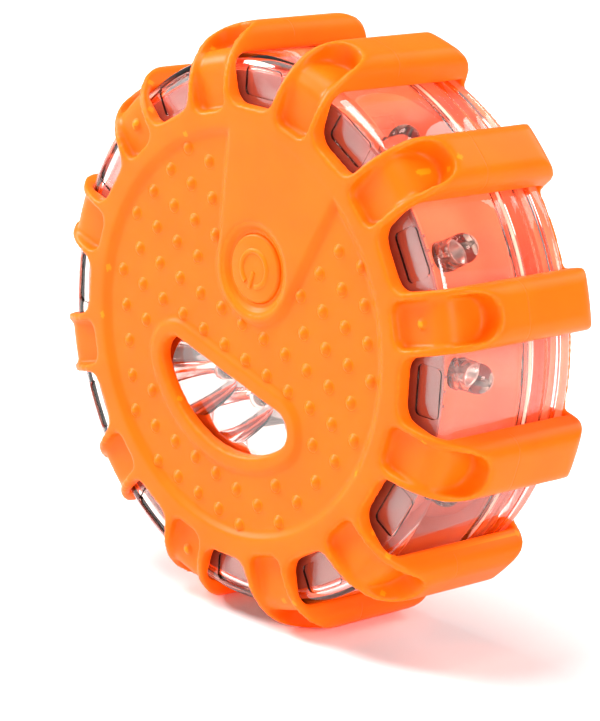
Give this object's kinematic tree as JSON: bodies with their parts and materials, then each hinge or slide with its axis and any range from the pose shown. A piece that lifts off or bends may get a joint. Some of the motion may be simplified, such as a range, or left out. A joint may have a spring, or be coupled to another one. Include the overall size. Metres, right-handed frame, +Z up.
{
  "type": "led safety flare",
  "caption": "Round LED road safety flare: ribbed orange rubber bumper over a clear lamp puck, push button, torch window, magnetic back and fold-out hook.",
  "frame": {"origin": "centre of the footprint, on the surface that the flare stands on when it rests on edge on two ribs", "axes": "-Y out of the front face, +Z up, X across; the face's own top is turned 15 degrees towards +X"},
  "size_m": [0.1, 0.033, 0.1],
  "materials": {
    "orange_rubber": "satin moulded",
    "white_plastic": "satin",
    "black_plastic": "matte",
    "clear_plastic": "polished clear",
    "grey_rubber": "matte",
    "salmon_silicone": "satin moulded",
    "coral_plastic": "satin",
    "bright_chrome": "vacuum metallised",
    "torch_lamp": "clear epoxy over a yellow die",
    "rim_lamp": "clear epoxy",
    "board_resin": "solder mask",
    "blue_sleeve": "shrink sleeve",
    "cell_jacket": "printed film, plain",
    "nickel_steel": "nickel plated",
    "insert_brass": "turned",
    "orange_plastic": "fine texture",
    "magnet_face": "nickel plated"
  },
  "bodies": {
    "flare": {"bumper_sleeve": "orange_rubber", "tact_switch": "black_plastic", "front_shell": "clear_plastic", "back_shell": "clear_plastic", "rim_seal": "salmon_silicone", "light_drum": "coral_plastic", "torch_reflector": "bright_chrome", "torch_leds": "torch_lamp", "rim_leds": "rim_lamp", "circuit_board": "board_resin", "control_chip": "black_plastic", "board_capacitor": "blue_sleeve", "led_resistors": "black_plastic", "power_transistors": "black_plastic", "battery_tray": "white_plastic", "cell_left": "cell_jacket", "cell_middle": "cell_jacket", "cell_right": "cell_jacket", "contact_springs": "nickel_steel", "spring_plates": "nickel_steel", "button_plates": "nickel_steel", "chassis_screws": "nickel_steel", "screw_inserts": "insert_brass", "cover_gasket": "grey_rubber"},
    "power_button": {"button_pad": "orange_rubber", "button_plunger": "white_plastic", "switch_stem": "black_plastic"},
    "battery_door": {"battery_cover": "orange_plastic", "cover_screws": "nickel_steel", "magnet": "magnet_face", "magnet_cup": "nickel_steel", "hook_pin": "nickel_steel"},
    "hook": {"hanging_hook": "black_plastic"}
  },
  "joints": [
    {"name": "button_press", "type": "slide", "parent": "flare", "child": "power_button", "axis": [0, 1, 0], "range_m": [0, 0.0005], "stiffness_N_per_m": 1200},
    {"name": "door_lift", "type": "slide", "parent": "flare", "child": "battery_door", "axis": [0, 1, 0], "range_m": [0, 0.015]},
    {"name": "hook_swing", "type": "hinge", "parent": "battery_door", "child": "hook", "pos_m": [0.0045, 0.0149, 0.06679], "axis": [0.9659, 0, -0.2588], "range_deg": [0, 110]}
  ]
}
